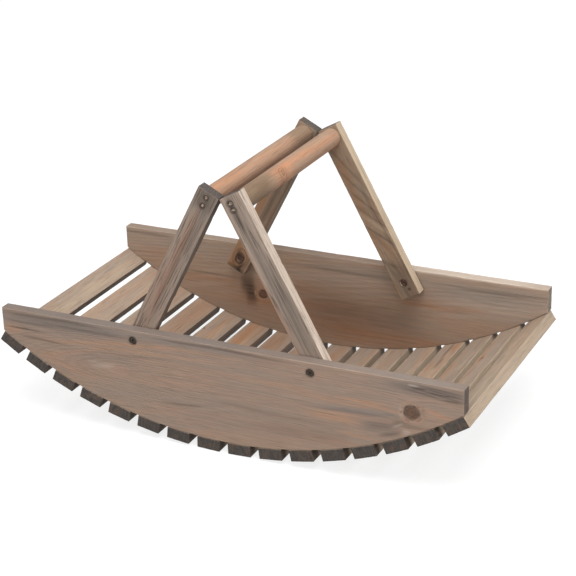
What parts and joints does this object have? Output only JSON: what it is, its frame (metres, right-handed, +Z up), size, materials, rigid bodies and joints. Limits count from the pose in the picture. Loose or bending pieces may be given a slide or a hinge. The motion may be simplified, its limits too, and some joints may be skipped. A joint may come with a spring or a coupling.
{
  "type": "trug garden basket",
  "caption": "Slatted wooden garden trug with bow-bottomed side boards and two hinged carrying handles that lean together over the tray.",
  "frame": {"origin": "on the surface that the trug stands on, under the middle of the basket", "axes": "+X along the side boards to the right, +Y from the front board to the back board, +Z up"},
  "size_m": [0.5412, 0.276, 0.2884],
  "materials": {
    "board_pine": "weathered grey-brown pine, planed and matt",
    "slat_pine": "weathered pale pine with dark sawn ends, matt",
    "leg_pine": "weathered grey pine with open grain, matt",
    "rod_pine": "turned pine, worn smooth by the hand",
    "zinc_steel": "dulled zinc plate"
  },
  "bodies": {
    "basket": {"front_board": "board_pine", "back_board": "board_pine", "slat_01": "slat_pine", "slat_02": "slat_pine", "slat_03": "slat_pine", "slat_04": "slat_pine", "slat_05": "slat_pine", "slat_06": "slat_pine", "slat_07": "slat_pine", "slat_08": "slat_pine", "slat_09": "slat_pine", "slat_10": "slat_pine", "slat_11": "slat_pine", "slat_12": "slat_pine", "slat_13": "slat_pine", "slat_14": "slat_pine", "slat_15": "slat_pine", "slat_16": "slat_pine", "front_slat_nails": "zinc_steel", "back_slat_nails": "zinc_steel", "left_front_pivot_bolt": "zinc_steel", "left_back_pivot_bolt": "zinc_steel", "right_front_pivot_bolt": "zinc_steel", "right_back_pivot_bolt": "zinc_steel", "left_front_pivot_nut": "zinc_steel", "left_back_pivot_nut": "zinc_steel", "right_front_pivot_nut": "zinc_steel", "right_back_pivot_nut": "zinc_steel", "pivot_washers": "zinc_steel"},
    "left_handle": {"left_handle_front_leg": "leg_pine", "left_handle_back_leg": "leg_pine", "left_handle_rod": "rod_pine", "left_handle_nails": "zinc_steel"},
    "right_handle": {"right_handle_front_leg": "leg_pine", "right_handle_back_leg": "leg_pine", "right_handle_rod": "rod_pine", "right_handle_nails": "zinc_steel"}
  },
  "joints": [
    {"name": "left_handle_swing", "type": "hinge", "parent": "basket", "child": "left_handle", "pos_m": [-0.102, 0, 0.11163], "axis": [0, -1, 0], "range_deg": [0, 119]},
    {"name": "right_handle_swing", "type": "hinge", "parent": "basket", "child": "right_handle", "pos_m": [0.102, 0, 0.11163], "axis": [0, 1, 0], "range_deg": [0, 119]}
  ]
}
